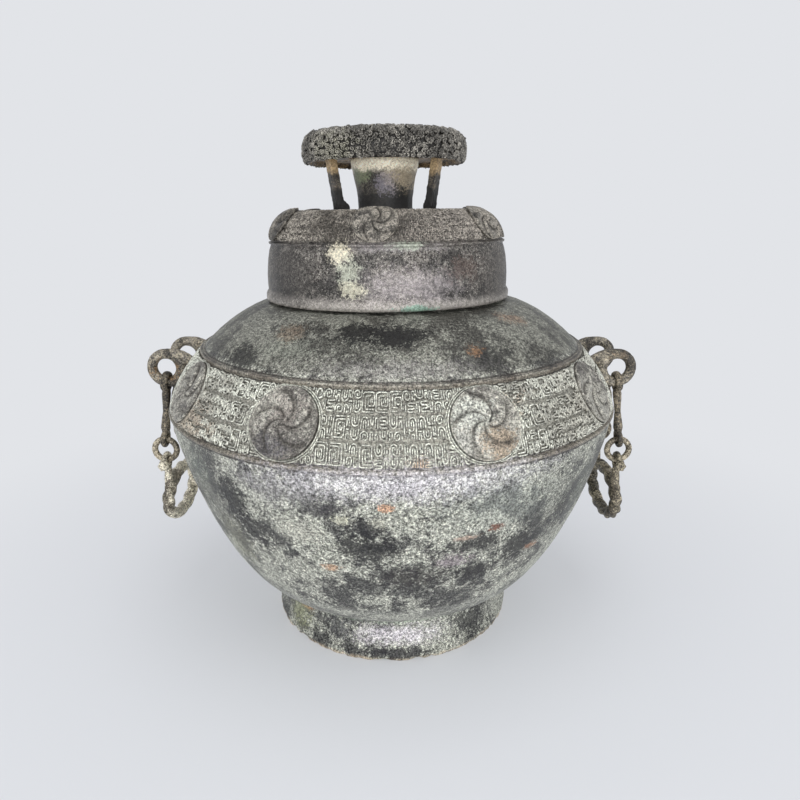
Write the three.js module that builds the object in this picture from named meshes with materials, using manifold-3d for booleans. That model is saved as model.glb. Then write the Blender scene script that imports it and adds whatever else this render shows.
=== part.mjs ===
// Bronze fou: a round-bellied jar on a low foot ring. A deep cap lid with a disc crown on a stem and
// three struts lifts off, and on each side two chains hang from ring ears and share one rope-twist grip.
// Millimetres, +Z up, front is -Y, origin on the ground under the jar's axis.
import * as THREE from 'three';
import { mergeVertices } from 'three/addons/utils/BufferGeometryUtils.js';
import Module from 'manifold-3d';

const wasm = await Module();
wasm.setup();

// foot ring
const footHeight = 36;
const footRadius = 95.8;
const footWaist = 92.6;
const footWall = 6;
const footRim = 5;
const footRimSlope = 8;
const footFillet = 14;

// belly and shoulder of the jar: the curves' reach past their ends, and heights above the widest line
const bellyRadius = 165.4;
const bellyHeight = 176;
const bellyStartRadius = 96;
const bellyFlare = 41;
const bellyFlareRise = 14;
const bellyUpright = 17;
const shoulderUpright = 21;
const shoulderReach = 36;
const shoulderReachDrop = 5.6;
const shoulderRadius = 88;
const shoulderRise = 75.4;
const wall = 4.6;
const neckHeight = 34;
const neckFillet = 5;
const mouthRim = 2;
const mouthRimHeight = 5;

// decorated band between two cords, and its whorl roundels
const bandHeight = 43.2;
const cordSize = 1.7;
const bandRoundelRadius = 21.4;
const bandRoundelProud = 2.6;
const bandRows = 3;
const bandSeam = 0.04;
const bandSeamDepth = 1.3;
const roundelLobes = 5;
const roundelLobeRise = 0.45;
const bandRoundelAngles = [20.3, 59, 121.5, 160.5, 199.5, 238.5, 301, 337.7];
const roundelRoot = 2.4;

// lid: a skirt over the neck, a rounded shoulder and a flat top
const lidRadius = 90;
const lidWall = 4.2;
const lidLipHeight = 7;
const lidLipStep = 1;
const lidDrawIn = 5;
const lidCord = 1.2;
const lidSkirtHeight = 41.6;
const lidDomeHeight = 20;
const lidDomeUpright = 12;
const lidDomeReach = 10;
const lidTopRadius = 66;
const lidRoundelRadius = 14.5;
const lidRoundelProud = 2.4;
const lidRoundelAngles = [-4, 56, 116, 176, 236, 296];
const lidShift = -3;
const lidLean = 0.6;

// crown knob: stem, struts and disc
const stemFoot = 19.8;
const stemHead = 24.6;
const stemHeight = 30;
const knobShift = -0.8;
const crownRadius = 59;
const crownThickness = 22.2;
const crownCorner = 6.5;
const crownDome = 2;
const crownCurlDepth = 1.2;
const strutFootRadius = 36.5;
const strutHeadRadius = 42;
const strutWidth = 7.2;
const strutDepth = 5.6;
const strutToe = 4;
const strutFlare = 1.2;
const strutEdge = 1;
const strutAngles = [-60, 60, 180];

// ring ears, two on each side: the hole's height over the widest line and its stand off the wall
const earRise = 26;
const earSpread = 48;
const earRing = 10.7;
const earBar = 4.1;
const earStand = 12;
const earArmRise = 6;
const earTail = 28;
const earTailThick = 2.3;

// chain: dumbbell link, small ring, grip
const linkLength = 61.6;
const linkWaist = 2.5;
const linkShoulder = 3.9;
const loopBar = 1.8;
const loopWidth = 3;
const linkRing = 8.4;
const linkRingBar = 2.6;
const gripHalfWidth = 30.5;
const gripHalfHeight = 17;
const gripBar = 4.8;
const gripStrands = 3;
const gripLays = 14;
const gripTwist = 0.13;
const gripKnob = 4.4;
const gripNeck = 4.5;
const gripNeckTop = 2.6;
const gripNeckFoot = 3.4;

// clearances
const castGap = 0.3;
const chainPlay = 0.5;
const neckPlay = 1.8;
const bellyPlay = 2.4;

// faces round the jar and the lid, the crown, and the roundels with their five lobes
const roundSides = 36;
const crownSides = 32;
const roundelSides = 10;

const turn = THREE.MathUtils.degToRad;

const bronze = (color, roughness) => new THREE.MeshStandardMaterial({ color, roughness, metalness: 0.55 });
const bodyBronze = bronze(0x5d5e57, 0.62);
const lidBronze = bronze(0x4f4e4b, 0.55);
const crownBronze = bronze(0x45443f, 0.7);
const chainBronze = bronze(0x6b6454, 0.6);

// A closed mesh as a solid that can be joined and cut.
function solid(geometry) {
  const bare = geometry.index ? geometry.clone() : geometry;
  bare.deleteAttribute('normal');
  bare.deleteAttribute('uv');
  const merged = mergeVertices(bare, 1e-4);
  return new wasm.Manifold(new wasm.Mesh({
    numProp: 3,
    vertProperties: new Float32Array(merged.attributes.position.array),
    triVerts: new Uint32Array(merged.index.array),
  }));
}

function join(...geometries) {
  return geometries.map(solid).reduce((sum, next) => sum.add(next));
}

function geometryOf(shape) {
  const mesh = shape.getMesh();
  const geometry = new THREE.BufferGeometry();
  geometry.setAttribute('position', new THREE.BufferAttribute(new Float32Array(mesh.vertProperties), 3));
  geometry.setIndex(new THREE.BufferAttribute(new Uint32Array(mesh.triVerts), 1));
  geometry.computeVertexNormals();
  return geometry;
}

function piece(name, geometry, material) {
  const mesh = new THREE.Mesh(geometry, material);
  mesh.name = name;
  return mesh;
}

// A turned shape: the outline is a list of (radius, height) points, turned about Z.
function turned(outline, segments) {
  return new THREE.LatheGeometry(outline, segments).rotateX(Math.PI / 2);
}

// The jar's outside from the foot's top to the neck: the lower belly, then the shoulder.
const point = (r, z) => new THREE.Vector2(r, z);
const shoulderHeight = bellyHeight + shoulderRise;
const lowerBelly = new THREE.CubicBezierCurve(
  point(bellyStartRadius, footHeight),
  point(bellyStartRadius + bellyFlare, footHeight + bellyFlareRise),
  point(bellyRadius, bellyHeight - bellyUpright),
  point(bellyRadius, bellyHeight),
);
const shoulder = new THREE.CubicBezierCurve(
  point(bellyRadius, bellyHeight),
  point(bellyRadius, bellyHeight + shoulderUpright),
  point(shoulderRadius + shoulderReach, shoulderHeight - shoulderReachDrop),
  point(shoulderRadius, shoulderHeight),
);

// The point at a share of a curve's length, moved out along its normal.
function offsetPoint(curve, share, distance) {
  const at = curve.getPointAt(share);
  const along = curve.getTangentAt(share);
  return point(at.x + along.y * distance, at.y - along.x * distance);
}

// The share of a curve's length at which it reaches a height.
function shareAtHeight(curve, height) {
  let low = 0;
  let high = 1;
  for (let step = 0; step < 40; step += 1) {
    const middle = (low + high) / 2;
    if (curve.getPointAt(middle).y < height) low = middle;
    else high = middle;
  }
  return low;
}

// Height of the shoulder at a radius, for what rests on it.
function shoulderHeightAt(radius) {
  let low = 0;
  let high = 1;
  for (let step = 0; step < 40; step += 1) {
    const middle = (low + high) / 2;
    if (shoulder.getPointAt(middle).x > radius) low = middle;
    else high = middle;
  }
  return shoulder.getPointAt(low).y;
}

// Radius of the jar's wall at a height.
function wallRadiusAt(height) {
  const curve = height < bellyHeight ? lowerBelly : shoulder;
  return curve.getPointAt(shareAtHeight(curve, height)).x;
}

// Points along a stretch of a curve, standing a distance off it.
function stretch(curve, from, to, steps, distance) {
  const points = [];
  for (let step = 0; step <= steps; step += 1) {
    points.push(offsetPoint(curve, from + (to - from) * step / steps, distance));
  }
  return points;
}

// A cord standing on a curve.
function cordPoints(curve, share, distance) {
  const size = cordSize / curve.getLength();
  return [-1, 0, 1].map((place) => {
    const rise = cordSize * 0.8 * (1 - Math.abs(place));
    return offsetPoint(curve, share + size * place, distance + rise);
  });
}

const neckRadius = lidRadius - lidDrawIn - lidWall - Math.abs(lidShift) - mouthRim - neckPlay;
const neckFoot = shoulderHeight + neckFillet;
const mouthHeight = neckFoot + neckHeight;
const bandShare = shareAtHeight(shoulder, bellyHeight + bandHeight);
const cordShare = cordSize / shoulder.getLength();

// The band's rows of cast curls, parted by seams. What is seated on the wall bridges the sunk seams.
function bandOutline(distance, seamDepth) {
  const low = cordShare * 3;
  const row = (bandShare - cordShare * 3 - low) / bandRows;
  const points = stretch(shoulder, low, low + row * (1 - bandSeam), 1, distance);
  for (let index = 1; index < bandRows; index += 1) {
    const seam = low + row * index;
    points.push(offsetPoint(shoulder, seam, distance - seamDepth));
    points.push(...stretch(shoulder, seam + row * bandSeam, seam + row * (1 - bandSeam), 1, distance));
  }
  return points;
}

// The outside of the jar from the belly's start to the neck, with its two cords and its band.
function bellyOutline(distance, seamDepth = 0) {
  return [
    ...stretch(lowerBelly, 0, 0.97, 6, distance),
    ...cordPoints(shoulder, cordShare, distance),
    ...bandOutline(distance, seamDepth),
    ...cordPoints(shoulder, bandShare, distance),
    ...stretch(shoulder, bandShare + cordShare * 3, 1, 4, distance),
  ];
}

function jarOutline() {
  const floorTop = footHeight + wall * 0.6;
  const floorUnder = floorTop - wall;
  const recess = footWaist - footWall;
  return [
    point(0, floorUnder),
    point(recess - footFillet, floorUnder),
    point(recess - footFillet * 0.2, floorUnder - footFillet * 0.25),
    point(recess, floorUnder - footFillet),
    point(footRadius - footWall, 0),
    point(footRadius, 0),
    point(footRadius, footRim),
    point(footWaist, footRim + footRimSlope),
    point(footWaist, footHeight - footRimSlope),
    point((footWaist + bellyStartRadius) / 2, footHeight - footRimSlope * 0.25),
    ...bellyOutline(0, bandSeamDepth),
    point(neckRadius + neckFillet, shoulderHeight + neckFillet * 0.4),
    point(neckRadius + neckFillet * 0.3, shoulderHeight + neckFillet * 0.8),
    point(neckRadius, neckFoot + neckFillet),
    point(neckRadius, mouthHeight - mouthRimHeight),
    point(neckRadius + mouthRim, mouthHeight - mouthRimHeight / 2),
    point(neckRadius + mouthRim, mouthHeight),
    point(neckRadius - wall, mouthHeight),
    point(neckRadius - wall, shoulderHeight - wall),
    ...stretch(shoulder, 0.86, 0.04, 3, -wall),
    ...stretch(lowerBelly, 0.9, 0.12, 4, -wall),
    point(bellyStartRadius - footFillet, floorTop),
    point(0, floorTop),
  ];
}

// A place on the jar or the lid: an angle round the axis from the front, a share of the outline's
// length, and a height above the surface.
function onSurface(curve, angle, share, height) {
  const at = offsetPoint(curve, THREE.MathUtils.clamp(share, 0, 1), height);
  return new THREE.Vector3(at.x * Math.sin(angle), -at.x * Math.cos(angle), at.y);
}

// A whorl roundel: a round boss with a raised rim and five lobes that turn outwards from the middle,
// laid over the curved wall.
function roundel(curve, angleDegrees, centreShare, radius, proud) {
  const outline = [
    point(0, -roundelRoot),
    point(radius, -roundelRoot),
    point(radius, proud * 0.8),
    point(radius * 0.92, proud),
    point(radius * 0.8, proud * 0.6),
    point(radius * 0.45, proud * 0.7),
    point(0, proud * 0.8),
  ];
  const geometry = new THREE.LatheGeometry(outline, roundelSides);
  const places = geometry.attributes.position;
  const length = curve.getLength();
  const middleRadius = curve.getPointAt(centreShare).x;
  for (let index = 0; index < places.count; index += 1) {
    const ring = index % outline.length;
    const round = Math.floor(index / outline.length) * Math.PI * 2 / roundelSides;
    const outerRing = ring === outline.length - 3;
    const innerRing = ring === outline.length - 2;
    const crest = outerRing ? Math.PI * 2 / roundelSides : 0;
    const lobe = outerRing || innerRing ? roundelLobeRise * Math.cos(roundelLobes * (round - crest)) : 0;
    const place = onSurface(
      curve,
      turn(angleDegrees) + places.getX(index) / middleRadius,
      centreShare - places.getZ(index) / length,
      places.getY(index) + proud * lobe,
    );
    places.setXYZ(index, place.x, place.y, place.z);
  }
  return geometry;
}

function jarBody() {
  const bandMiddle = (cordShare + bandShare) / 2;
  const roundels = bandRoundelAngles.map((angle) => (
    roundel(shoulder, angle, bandMiddle, bandRoundelRadius, bandRoundelProud)
  ));
  return geometryOf(join(turned(jarOutline(), roundSides), ...roundels));
}

// The lid's shoulder from the skirt's cord to the flat top, in the lid's own frame.
const skirtTopRadius = lidRadius - lidDrawIn;
const lidTop = lidSkirtHeight + lidDomeHeight;
const lidShoulder = new THREE.CubicBezierCurve(
  point(skirtTopRadius, lidSkirtHeight),
  point(skirtTopRadius, lidSkirtHeight + lidDomeUpright),
  point(lidTopRadius + lidDomeReach, lidTop),
  point(lidTopRadius, lidTop),
);

function lidOutline() {
  return [
    point(0, lidTop - lidWall),
    point(lidTopRadius, lidTop - lidWall),
    ...stretch(lidShoulder, 0.75, 0.2, 2, -lidWall),
    point(skirtTopRadius - lidWall, lidSkirtHeight),
    point(lidRadius - lidWall - lidLipStep, lidLipHeight),
    point(lidRadius - lidWall, 0),
    point(lidRadius, 0),
    point(lidRadius, lidLipHeight - lidLipStep),
    point(lidRadius - lidLipStep, lidLipHeight),
    point(lidRadius - lidDrawIn * 0.3, lidSkirtHeight * 0.42),
    point(lidRadius - lidDrawIn * 0.6, lidSkirtHeight * 0.72),
    point(skirtTopRadius, lidSkirtHeight - lidCord * 2),
    point(skirtTopRadius + lidCord, lidSkirtHeight - lidCord),
    ...stretch(lidShoulder, 0, 1, 5, 0),
    point(0, lidTop),
  ];
}

function lidShell() {
  const roundels = lidRoundelAngles.map((angle) => (
    roundel(lidShoulder, angle, 0.5, lidRoundelRadius, lidRoundelProud)
  ));
  return geometryOf(join(turned(lidOutline(), roundSides), ...roundels));
}

// The stem flares into a small collar under the crown.
function stem() {
  return turned([
    point(0, 0),
    point(stemFoot, 0),
    point(stemFoot, stemHeight * 0.3),
    point(stemFoot + (stemHead - stemFoot) * 0.4, stemHeight * 0.66),
    point(stemHead, stemHeight - 1),
    point(stemHead, stemHeight),
    point(0, stemHeight),
  ], 20);
}

// The crown disc: flat under, slightly domed on top, with a rounded edge and a lumpy crust of curls.
function crown() {
  const arc = (centreZ, from, to) => [0, 1, 2].map((step) => {
    const angle = turn(from + (to - from) * step / 2);
    return point(
      crownRadius - crownCorner + crownCorner * Math.cos(angle),
      centreZ + crownCorner * Math.sin(angle),
    );
  });
  const outline = [
    point(0, 0),
    ...arc(crownCorner, -90, 0),
    ...arc(crownThickness - crownDome - crownCorner, 0, 84),
    point(crownRadius * 0.66, crownThickness - crownDome * 0.5),
    point(crownRadius * 0.38, crownThickness - crownDome * 0.2),
    point(0, crownThickness),
  ];
  const disc = turned(outline, crownSides);
  const places = disc.attributes.position;
  const firstCurl = 3;
  for (let index = 0; index < places.count; index += 1) {
    const ring = index % outline.length;
    const side = Math.floor(index / outline.length);
    if (ring >= firstCurl && ring < outline.length - 1 && (ring + side) % 2) {
      const way = outline[ring + 1].clone().sub(outline[ring - 1]).normalize();
      const radius = outline[ring].x - crownCurlDepth * way.y;
      const angle = side * Math.PI * 2 / crownSides;
      places.setXYZ(
        index,
        radius * Math.sin(angle),
        -radius * Math.cos(angle),
        outline[ring].y + crownCurlDepth * way.x,
      );
    }
  }
  return disc;
}

// A strut leans in towards its foot, which turns a small toe to the stem.
function strut() {
  const half = strutDepth / 2;
  const lean = strutHeadRadius - strutFootRadius;
  const side = new THREE.Shape();
  side.moveTo(-half - strutToe, 0);
  side.lineTo(half, 0);
  side.lineTo(half + lean * 0.72, stemHeight * 0.72);
  side.quadraticCurveTo(half + lean, stemHeight * 0.9, half + lean + strutFlare, stemHeight);
  side.lineTo(-half + lean - strutFlare, stemHeight);
  side.quadraticCurveTo(-half + lean, stemHeight * 0.9, -half + lean * 0.72, stemHeight * 0.72);
  side.lineTo(-half + lean * 0.16, stemHeight * 0.16);
  side.quadraticCurveTo(-half, strutToe * 0.8, -half - strutToe, strutToe * 0.6);
  side.closePath();
  const bar = new THREE.ExtrudeGeometry(side, {
    depth: strutWidth - strutEdge * 2,
    bevelEnabled: true,
    bevelThickness: strutEdge,
    bevelSize: strutEdge,
    bevelOffset: -strutEdge,
    bevelSegments: 1,
    curveSegments: 3,
  });
  return bar.translate(strutFootRadius, 0, strutEdge - strutWidth / 2).rotateX(Math.PI / 2);
}

// A closed bar bent into an oval that stands in the YZ plane, round or flattened, plain or twisted.
function ovalLoop(shape) {
  const { halfWidth, halfHeight, thick, across, steps, sides, strands = 0, lays = 0 } = shape;
  const geometry = new THREE.TorusGeometry(1, 0.2, sides, steps);
  const places = geometry.attributes.position;
  const shares = geometry.attributes.uv;
  for (let index = 0; index < places.count; index += 1) {
    const along = shares.getX(index) * Math.PI * 2;
    const round = shares.getY(index) * Math.PI * 2;
    const swell = strands ? 1 + gripTwist * Math.cos(strands * round - lays * along) : 1;
    const out = new THREE.Vector2(Math.cos(along) * halfHeight, Math.sin(along) * halfWidth).normalize();
    const reach = thick * swell * Math.cos(round);
    places.setXYZ(
      index,
      across * swell * Math.sin(round),
      halfWidth * Math.cos(along) + out.x * reach,
      halfHeight * Math.sin(along) + out.y * reach,
    );
  }
  return geometry;
}

// A chain is laid out from the ear's hole down. Each pivot is a bar that the next piece hangs on.
const lowerLoopGap = linkRingBar * 2 + chainPlay;
const ringDrop = linkRing - linkRingBar - chainPlay - loopBar;
const pivotSpacing = ringDrop * 2;
const lowerLoopInside = linkRing + linkRingBar - ringDrop / 2 + chainPlay;

// An eye that a small ring runs through, its bearing bar at the origin and its loop upwards.
function eye() {
  const halfHeight = (lowerLoopInside + loopBar) / 2;
  return ovalLoop({
    halfWidth: lowerLoopGap / 2 + chainPlay + loopBar,
    halfHeight,
    thick: loopBar,
    across: loopWidth * 0.8,
    steps: 12,
    sides: 6,
  }).translate(0, 0, halfHeight);
}

// The dumbbell link hangs from the ear's hole at the origin, straight down.
function dumbbellLink() {
  const upperHalf = earBar + chainPlay + loopBar;
  const upper = ovalLoop({
    halfWidth: upperHalf, halfHeight: upperHalf, thick: loopBar, across: loopWidth, steps: 12, sides: 6,
  }).translate(0, 0, -earRing);
  const lower = eye().translate(0, 0, -linkLength);
  const shankTop = -earRing - upperHalf;
  const shankFoot = -linkLength + lowerLoopInside + loopBar;
  const length = shankTop - shankFoot;
  const shank = turned([
    point(0, shankFoot - loopBar * 0.4),
    point(linkShoulder * 0.8, shankFoot - loopBar * 0.4),
    point(linkShoulder, shankFoot + length * 0.1),
    point(linkWaist, shankFoot + length * 0.5),
    point(linkShoulder * 0.95, shankFoot + length * 0.88),
    point(linkShoulder * 0.8, shankTop + loopBar * 0.4),
    point(0, shankTop + loopBar * 0.4),
  ], 7);
  return geometryOf(join(upper, lower, shank));
}

function smallRing() {
  return new THREE.TorusGeometry(linkRing, linkRingBar, 6, 16).rotateX(Math.PI / 2);
}

// The grip: one rope-twist oval that hangs from both chains by its two eyes, each with an outer knob.
// The origin is midway between the eyes' bearing bars.
const gripDrop = lowerLoopInside + loopBar * 2 + gripNeck + gripHalfHeight + gripBar;

function grip() {
  const rope = ovalLoop({
    halfWidth: gripHalfWidth,
    halfHeight: gripHalfHeight,
    thick: gripBar,
    across: gripBar,
    steps: gripLays * 3,
    sides: 6,
    strands: gripStrands,
    lays: gripLays,
  }).translate(0, 0, -gripDrop);
  const shape = [rope];
  for (const side of [-1, 1]) {
    const y = side * earSpread / 2;
    shape.push(eye().rotateX(Math.PI).translate(0, y, 0));
    const neckTop = -lowerLoopInside - loopBar;
    const neckFootZ = -gripDrop + gripHalfHeight * Math.sqrt(1 - (y / gripHalfWidth) ** 2);
    const neck = new THREE.CylinderGeometry(gripNeckTop, gripNeckFoot, neckTop - neckFootZ, 7);
    shape.push(neck.rotateX(Math.PI / 2).translate(0, y, (neckTop + neckFootZ) / 2));
    const knob = new THREE.SphereGeometry(gripKnob, 8, 5).rotateX(Math.PI / 2);
    const knobY = y + side * (lowerLoopGap / 2 + chainPlay + loopBar + gripKnob * 0.75);
    shape.push(knob.translate(0, knobY, -lowerLoopInside * 0.72));
  }
  return geometryOf(join(...shape));
}

// The wall's outside as points, and how far a place at a radius and a height stands off it.
const wallPoints = [...lowerBelly.getSpacedPoints(120), ...shoulder.getSpacedPoints(120)];

function nearestWallPoint(radius, height) {
  const place = point(radius, height);
  return wallPoints.reduce((best, next) => (
    next.distanceTo(place) < best.distanceTo(place) ? next : best
  ));
}

function standOff(radius, height) {
  const near = nearestWallPoint(radius, height);
  const distance = near.distanceTo(point(radius, height));
  return radius > wallRadiusAt(height) ? distance : -distance;
}

// The smallest value between two ends at which a rising measure reaches what it should.
function reach(low, high, enough) {
  let from = low;
  let to = high;
  for (let step = 0; step < 30; step += 1) {
    const middle = (from + to) / 2;
    if (enough(middle)) to = middle;
    else from = middle;
  }
  return to;
}

// The ear's hole stands off the wall, and the chain leans out until it clears the belly.
const earHeight = bellyHeight + earRise;
const earY = earSpread / 2;
const holeX = reach(0, bellyRadius * 2, (x) => standOff(Math.hypot(x, earY), earHeight) > earStand);

function chainGap(lean) {
  const pivotX = holeX + linkLength * Math.sin(lean);
  const pivotZ = earHeight - linkLength * Math.cos(lean);
  const gripFoot = pivotSpacing + gripDrop + gripHalfHeight + gripBar;
  const gaps = [standOff(Math.hypot(pivotX, earY), pivotZ - ringDrop) - linkRing - linkRingBar];
  for (let step = 0; step <= 20; step += 1) {
    const share = step / 20;
    const linkX = holeX + (pivotX - holeX) * share;
    const linkZ = earHeight + (pivotZ - earHeight) * share;
    gaps.push(standOff(Math.hypot(linkX, earY), linkZ) - linkShoulder);
    gaps.push(standOff(pivotX, pivotZ - gripFoot * share) - gripBar * (1 + gripTwist));
  }
  return Math.min(...gaps);
}

const chainLean = reach(0, Math.PI / 3, (lean) => chainGap(lean) > bellyPlay);
const ringPivotX = holeX + linkLength * Math.sin(chainLean);
const ringPivotZ = earHeight - linkLength * Math.cos(chainLean);

// A ring ear: a round bar ring in a plane through the jar's axis, with an arm over the shoulder and
// a tail down the band, cut to the wall with the casting gap.
const wallBlank = solid(turned([
  point(0, footHeight),
  ...bellyOutline(castGap),
  point(0, shoulderHeight + castGap),
], roundSides));

function ear(side, end) {
  const y = end * earY;
  const wallX = (height) => Math.sqrt(wallRadiusAt(height) ** 2 - y ** 2);
  const ring = new THREE.TorusGeometry(earRing, earBar, 6, 16).rotateX(Math.PI / 2);
  ring.translate(holeX, y, earHeight);
  const armFoot = earHeight + earArmRise;
  const armPath = new THREE.CatmullRomCurve3([
    new THREE.Vector3(holeX - earRing * 0.1, y, earHeight + earRing),
    new THREE.Vector3(holeX - earRing, y, earHeight + earRing * 0.9),
    new THREE.Vector3(wallX(armFoot) - earBar, y, armFoot - earBar / 2),
  ]);
  const section = new THREE.Shape().absellipse(0, 0, earBar * 0.97, earBar * 0.97, 0, Math.PI * 2);
  const arm = new THREE.ExtrudeGeometry(section, { extrudePath: armPath, steps: 3, curveSegments: 2 });
  const tail = new THREE.SphereGeometry(1, 8, 6);
  const tailTop = nearestWallPoint(Math.hypot(holeX, y), earHeight).y + earBar;
  const places = tail.attributes.position;
  for (let index = 0; index < places.count; index += 1) {
    const height = tailTop - earTail * (1 - places.getY(index)) / 2;
    const reachOut = castGap * 2 + earTailThick * places.getX(index);
    places.setXYZ(index, wallX(height) + reachOut, y - earBar * 0.95 * places.getZ(index), height);
  }
  const shape = geometryOf(join(ring, arm, tail).subtract(wallBlank));
  return side > 0 ? shape : mirrored(shape);
}

// The same shape on the jar's other side.
function mirrored(geometry) {
  return geometry.rotateZ(Math.PI);
}

const fou = new THREE.Group();
fou.add(piece('jar_body', jarBody(), bodyBronze));

// The lid group leans on the shoulder: it stands as low as its lip lets it, all the way round.
const lidGroup = new THREE.Group();
lidGroup.rotation.y = turn(-lidLean);
let lidSeat = 0;
for (let step = 0; step < 72; step += 1) {
  const angle = turn(step * 5);
  for (const lip of [lidRadius, lidRadius - lidWall]) {
    const x = lidShift + lip * Math.cos(angle);
    const under = shoulderHeightAt(Math.hypot(x, lip * Math.sin(angle)));
    lidSeat = Math.max(lidSeat, under - lip * Math.cos(angle) * Math.sin(turn(lidLean)));
  }
}
lidGroup.position.set(lidShift, 0, lidSeat + castGap);
lidGroup.add(piece('lid', lidShell(), lidBronze));
const knob = new THREE.Group();
knob.position.set(knobShift, 0, lidTop + castGap);
knob.add(piece('stem', stem(), crownBronze));
strutAngles.forEach((angle, index) => {
  const mesh = piece(`strut_${['left', 'right', 'rear'][index]}`, strut(), crownBronze);
  mesh.rotation.z = turn(angle - 90);
  knob.add(mesh);
});
const disc = piece('crown', crown(), crownBronze);
disc.position.z = stemHeight + castGap;
knob.add(disc);
lidGroup.add(knob);
fou.add(lidGroup);

// Two chains and a grip on each side.
for (const [sideName, side] of [['left', -1], ['right', 1]]) {
  for (const [endName, end] of [['front', -1], ['rear', 1]]) {
    fou.add(piece(`ear_${sideName}_${endName}`, ear(side, end * side), bodyBronze));
    const y = end * earY;
    const link = piece(`link_${sideName}_${endName}`, dumbbellLink(), chainBronze);
    link.position.set(side * holeX, y, earHeight);
    link.rotation.y = -side * chainLean;
    fou.add(link);
    const ring = piece(`ring_${sideName}_${endName}`, smallRing(), chainBronze);
    ring.position.set(side * ringPivotX, y, ringPivotZ - ringDrop);
    fou.add(ring);
  }
  const bow = piece(`grip_${sideName}`, grip(), chainBronze);
  bow.position.set(side * ringPivotX, 0, ringPivotZ - pivotSpacing);
  fou.add(bow);
}

export default fou;
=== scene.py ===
import math
import random

import bmesh
import bpy
import numpy as np
from mathutils import Euler, Matrix, Vector, noise


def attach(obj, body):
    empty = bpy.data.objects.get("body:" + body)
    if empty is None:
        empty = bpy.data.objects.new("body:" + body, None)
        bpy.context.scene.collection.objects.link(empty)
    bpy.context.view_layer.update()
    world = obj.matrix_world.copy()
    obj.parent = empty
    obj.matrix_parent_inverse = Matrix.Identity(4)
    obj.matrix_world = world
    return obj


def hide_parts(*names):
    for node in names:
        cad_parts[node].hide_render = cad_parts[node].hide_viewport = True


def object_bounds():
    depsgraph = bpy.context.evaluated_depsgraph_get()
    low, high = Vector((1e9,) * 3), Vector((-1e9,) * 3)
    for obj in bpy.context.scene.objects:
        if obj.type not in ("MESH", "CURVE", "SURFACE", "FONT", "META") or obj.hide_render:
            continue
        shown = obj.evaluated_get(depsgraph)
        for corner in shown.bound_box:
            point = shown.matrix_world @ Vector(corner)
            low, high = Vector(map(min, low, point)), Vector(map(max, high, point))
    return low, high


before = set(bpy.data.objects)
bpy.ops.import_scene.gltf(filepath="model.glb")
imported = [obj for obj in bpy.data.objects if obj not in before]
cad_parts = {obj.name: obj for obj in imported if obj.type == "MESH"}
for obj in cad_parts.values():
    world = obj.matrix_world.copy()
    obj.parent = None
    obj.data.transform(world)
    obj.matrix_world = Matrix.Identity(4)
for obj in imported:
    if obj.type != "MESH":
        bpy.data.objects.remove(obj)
cad_low, cad_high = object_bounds()
mm = 0.001

# The jar
# One bronze casting: a foot ring, a wide belly, a sloping shoulder and a short neck under the lid.
# Two cords frame its band. Burial left a black to grey-green skin with pale mineral crust.
foot_height = 36 * mm
foot_radius = 95.8 * mm
foot_waist = 92.6 * mm
foot_wall = 6 * mm
foot_fillet = 14 * mm
belly_radius = 165.4 * mm
belly_height = 176 * mm
belly_start = 96 * mm
shoulder_radius = 88 * mm
shoulder_height = 251.4 * mm
neck_radius = 74 * mm
neck_foot = 256.4 * mm
mouth_height = 290.4 * mm
mouth_rim = 2 * mm
jar_wall = 4.6 * mm
cord_size = 1.7 * mm
band_height = 43.2 * mm
band_sink = 0.35 * mm


class Outline:
    """A curve of radius and height, turned about Z and read by the distance along it."""

    def __init__(self, start, leave, arrive, end):
        share = np.linspace(0, 1, 1500)[:, None]
        pull = (1 - share) ** 3 * np.array(start) + 3 * (1 - share) ** 2 * share * np.array(leave)
        self.line = pull + 3 * (1 - share) * share**2 * np.array(arrive) + share**3 * np.array(end)
        steps = np.hypot(*np.diff(self.line, axis=0).T)
        self.along = np.concatenate([[0], np.cumsum(steps)])
        self.length = self.along[-1]
        way = np.gradient(self.line, axis=0)
        way /= np.hypot(*way.T)[:, None]
        self.out = np.stack([way[:, 1], -way[:, 0]], axis=1)

    def at(self, along, proud=0.0):
        """Radius and height at a distance along the curve, standing proud of it."""
        radius, height = (np.interp(along, self.along, column) for column in self.line.T)
        out, up = (np.interp(along, self.along, column) for column in self.out.T)
        return radius + proud * out, height + proud * up

    def along_at(self, height):
        """The distance along the curve at which it reaches a height."""
        return float(np.interp(height, self.line[:, 1], self.along))

    def stretch(self, start, end, count, proud=0.0):
        """Evenly spaced (radius, height) points from one distance along the curve to another."""
        return [self.at(along, proud) for along in np.linspace(start, end, count)]

    def cord(self, middle, size):
        """A half-round cord across the curve, as (radius, height) points."""
        turns = [math.pi * step / 8 for step in range(9)]
        return [self.at(middle - size * math.cos(a), size * math.sin(a)) for a in turns]


def turned(points, steps):
    """A bmesh of a closed outline of (radius, height) points, spun about Z."""
    bm = bmesh.new()
    verts = [bm.verts.new((radius, 0, height)) for radius, height in points]
    edges = [bm.edges.new(pair) for pair in zip(verts, verts[1:])]
    bmesh.ops.spin(
        bm, geom=verts + edges, cent=(0, 0, 0), axis=(0, 0, 1), angle=math.tau, steps=steps, use_merge=True
    )
    bmesh.ops.remove_doubles(bm, verts=bm.verts, dist=0.02 * mm)
    bmesh.ops.recalc_face_normals(bm, faces=bm.faces)
    return bm


def uneven(bm, depth, size):
    """Sinks a surface here and there, as an old casting is."""
    bm.normal_update()
    sinks = [depth * (0.5 + 0.5 * noise.noise(vert.co / size)) for vert in bm.verts]
    for vert, sink in zip(bm.verts, sinks):
        vert.co -= vert.normal * sink


def moved(bm, matrix):
    """Moves and turns everything in a bmesh."""
    bmesh.ops.transform(bm, matrix=matrix, verts=bm.verts)


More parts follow.
